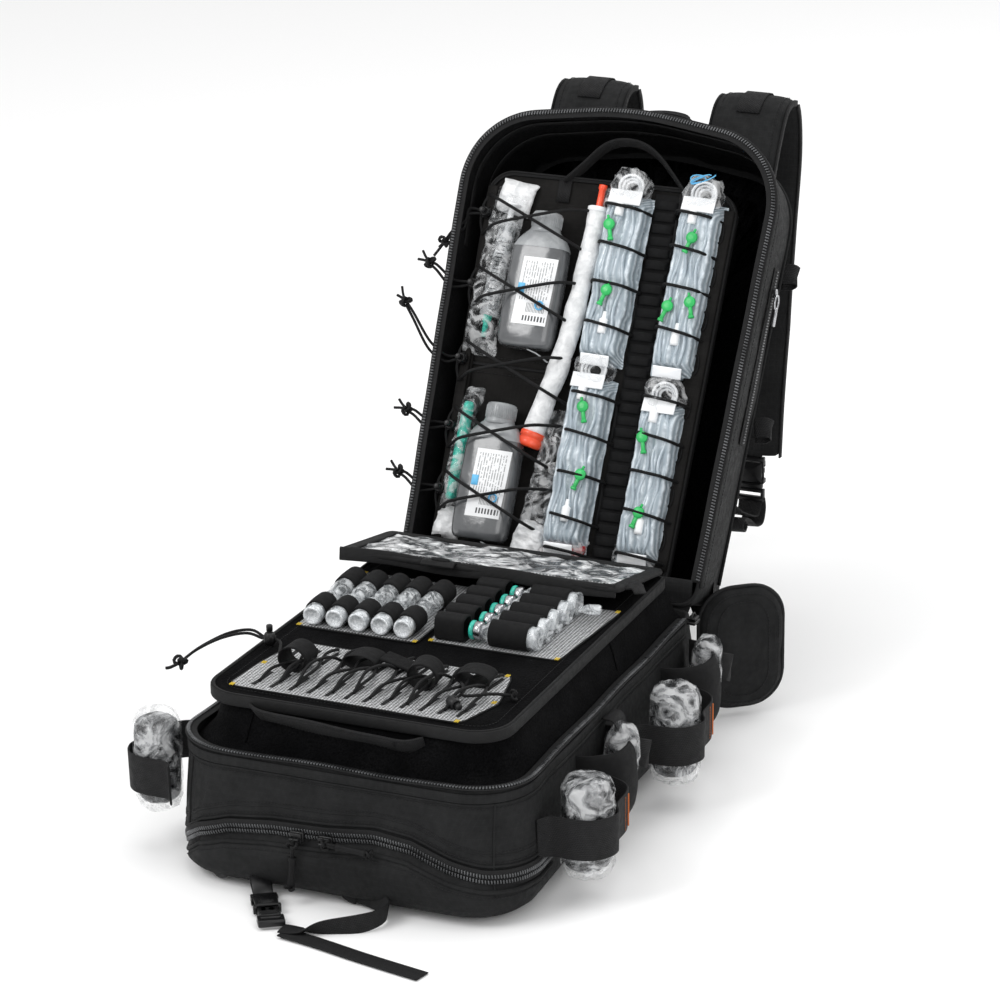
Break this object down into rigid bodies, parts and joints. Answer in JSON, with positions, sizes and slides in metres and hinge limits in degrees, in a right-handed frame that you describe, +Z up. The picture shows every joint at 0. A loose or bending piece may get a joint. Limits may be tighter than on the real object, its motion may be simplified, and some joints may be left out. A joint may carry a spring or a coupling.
{
  "type": "trauma backpack",
  "caption": "Medical backpack that opens flat like a clamshell, with an organiser insert, an ampoule and vial flap, a window pouch, side rolls and padded harness.",
  "frame": {"origin": "middle of the flat base that the open pack lies on", "axes": "+Z up, +Y from the pack's top end towards the clamshell hinge, +X to the right seen from the front"},
  "size_m": [0.4572, 1.0194, 0.5541],
  "materials": {
    "nylon": "black ripstop nylon, matt",
    "velour": "black loop velour",
    "webbing": "black woven webbing",
    "elastic": "black elastic webbing",
    "hardware": "black moulded plastic",
    "clear_plastic": "clear moulded plastic",
    "bottle_plastic": "translucent grey bottle",
    "wrap": "crinkled clear wrap",
    "paper": "white wrap paper",
    "blister": "pale blue blister",
    "teal": "teal plastic",
    "window": "clear window film"
  },
  "bodies": {
    "lower": {"front_pocket": "nylon", "lower_shell": "nylon", "compartment_liner": "velour", "compression_socket": "hardware", "bandage_roll_right_front": "wrap", "bandage_roll_right_rear": "wrap", "bandage_roll_left_front": "wrap"},
    "upper": {"upper_shell": "nylon", "back_pad": "nylon", "shoulder_strap_right": "nylon", "shoulder_strap_left": "nylon", "harness_socket_right": "hardware", "harness_socket_left": "hardware", "hip_pad_right": "nylon", "hip_pad_left": "nylon", "grab_handle": "webbing"},
    "insert": {"insert_board": "velour", "bottle_upper": "bottle_plastic", "bottle_lower": "bottle_plastic", "syringe_pack": "wrap", "teal_pack": "teal", "drain_tube": "paper", "infusion_set_1": "blister", "infusion_set_2": "blister", "infusion_set_3": "blister", "infusion_set_4": "blister"},
    "flap": {"flap_panel": "velour", "flap_handle": "webbing", "instrument_loops": "elastic", "ampoule_row": "clear_plastic", "vial_1": "clear_plastic", "vial_2": "clear_plastic", "vial_3": "clear_plastic", "vial_4": "clear_plastic", "vial_5": "clear_plastic"},
    "pouch": {"window_pouch": "window"},
    "compression_tongue": {"compression_plug": "hardware", "compression_webbing": "webbing"},
    "main_slider_right": {"main_slider_right": "hardware"},
    "main_slider_left": {"main_slider_left": "hardware"},
    "pocket_slider_left": {"pocket_slider_left": "hardware"},
    "pocket_slider_right": {"pocket_slider_right": "hardware"},
    "pocket_pull_left": {"pocket_pull_left": "hardware"},
    "pocket_pull_right": {"pocket_pull_right": "hardware"},
    "harness_tongue_right": {"harness_plug_right": "hardware", "harness_webbing_right": "webbing"},
    "harness_tongue_left": {"harness_plug_left": "hardware", "harness_webbing_left": "webbing"},
    "cord_lock_1": {"cord_lock_1": "hardware"},
    "cord_button_1": {"cord_lock_1_button": "hardware"},
    "cord_lock_2": {"cord_lock_2": "hardware"},
    "cord_button_2": {"cord_lock_2_button": "hardware"},
    "cord_lock_3": {"cord_lock_3": "hardware"},
    "cord_button_3": {"cord_lock_3_button": "hardware"},
    "cord_lock_4": {"cord_lock_4": "hardware"},
    "cord_button_4": {"cord_lock_4_button": "hardware"},
    "cord_lock_5": {"cord_lock_5": "hardware"},
    "cord_button_5": {"cord_lock_5_button": "hardware"},
    "flap_cord_lock": {"flap_cord_lock": "hardware"},
    "flap_cord_button": {"flap_cord_lock_button": "hardware"}
  },
  "joints": [
    {"name": "clamshell", "type": "hinge", "parent": "lower", "child": "upper", "pos_m": [0, 0.237, 0.13], "axis": [1, 0, 0], "range_deg": [0, 118]},
    {"name": "insert_recess", "type": "slide", "parent": "upper", "child": "insert", "axis": [0, 0.8829, -0.4695], "range_m": [0, 0.0841]},
    {"name": "flap_lift", "type": "hinge", "parent": "lower", "child": "flap", "pos_m": [0, 0.203, 0.161], "axis": [1, 0, 0], "range_deg": [-50, 0]},
    {"name": "pouch_lift", "type": "hinge", "parent": "flap", "child": "pouch", "pos_m": [0, 0.204, 0.174], "axis": [1, 0, 0], "range_deg": [-45, 0]},
    {"name": "main_zip_right", "type": "slide", "parent": "lower", "child": "main_slider_right", "axis": [0.025, -0.9997, 0], "range_m": [0, 0.34]},
    {"name": "main_zip_left", "type": "slide", "parent": "lower", "child": "main_slider_left", "axis": [-0.025, -0.9997, 0], "range_m": [0, 0.34]},
    {"name": "pocket_zip_left", "type": "slide", "parent": "lower", "child": "pocket_slider_left", "axis": [-1, 0, 0], "range_m": [0, 0.06]},
    {"name": "pocket_zip_right", "type": "slide", "parent": "lower", "child": "pocket_slider_right", "axis": [1, 0, 0], "range_m": [0, 0.06]},
    {"name": "pull_swing_left", "type": "hinge", "parent": "pocket_slider_left", "child": "pocket_pull_left", "pos_m": [-0.034, -0.262, 0.064], "axis": [1, 0, 0], "range_deg": [-90, 0]},
    {"name": "pull_swing_right", "type": "hinge", "parent": "pocket_slider_right", "child": "pocket_pull_right", "pos_m": [-0.006, -0.262, 0.064], "axis": [0, 1, 0], "range_deg": [0, 90]},
    {"name": "compression_release", "type": "slide", "parent": "lower", "child": "compression_tongue", "axis": [0.5547, -0.8321, 0], "range_m": [0, 0.03]},
    {"name": "harness_release_right", "type": "slide", "parent": "upper", "child": "harness_tongue_right", "axis": [0, 0, -1], "range_m": [0, 0.02]},
    {"name": "harness_release_left", "type": "slide", "parent": "upper", "child": "harness_tongue_left", "axis": [0, 0, -1], "range_m": [0, 0.02]},
    {"name": "cord_lock_1_slide", "type": "slide", "parent": "insert", "child": "cord_lock_1", "axis": [1, 0, 0], "range_m": [-0.012, 0]},
    {"name": "cord_button_1_press", "type": "slide", "parent": "cord_lock_1", "child": "cord_button_1", "axis": [0, 0.8829, -0.4695], "range_m": [0, 0.003], "stiffness_N_per_m": 300},
    {"name": "cord_lock_2_slide", "type": "slide", "parent": "insert", "child": "cord_lock_2", "axis": [1, 0, 0], "range_m": [-0.012, 0]},
    {"name": "cord_button_2_press", "type": "slide", "parent": "cord_lock_2", "child": "cord_button_2", "axis": [0, 0.8829, -0.4695], "range_m": [0, 0.003], "stiffness_N_per_m": 300},
    {"name": "cord_lock_3_slide", "type": "slide", "parent": "insert", "child": "cord_lock_3", "axis": [1, 0, 0], "range_m": [-0.012, 0]},
    {"name": "cord_button_3_press", "type": "slide", "parent": "cord_lock_3", "child": "cord_button_3", "axis": [0, 0.8829, -0.4695], "range_m": [0, 0.003], "stiffness_N_per_m": 300},
    {"name": "cord_lock_4_slide", "type": "slide", "parent": "insert", "child": "cord_lock_4", "axis": [1, 0, 0], "range_m": [-0.012, 0]},
    {"name": "cord_button_4_press", "type": "slide", "parent": "cord_lock_4", "child": "cord_button_4", "axis": [0, 0.8829, -0.4695], "range_m": [0, 0.003], "stiffness_N_per_m": 300},
    {"name": "cord_lock_5_slide", "type": "slide", "parent": "insert", "child": "cord_lock_5", "axis": [1, 0, 0], "range_m": [-0.012, 0]},
    {"name": "cord_button_5_press", "type": "slide", "parent": "cord_lock_5", "child": "cord_button_5", "axis": [0, 0.8829, -0.4695], "range_m": [0, 0.003], "stiffness_N_per_m": 300},
    {"name": "flap_cord_lock_slide", "type": "slide", "parent": "flap", "child": "flap_cord_lock", "axis": [1, 0, 0], "range_m": [-0.02, 0]},
    {"name": "flap_cord_button_press", "type": "slide", "parent": "flap_cord_lock", "child": "flap_cord_button", "axis": [0, 0, -1], "range_m": [0, 0.003], "stiffness_N_per_m": 300}
  ],
  "couplings": [
    {"joint": "insert_recess", "follows": "clamshell", "m_per_rad": 0.04069}
  ]
}
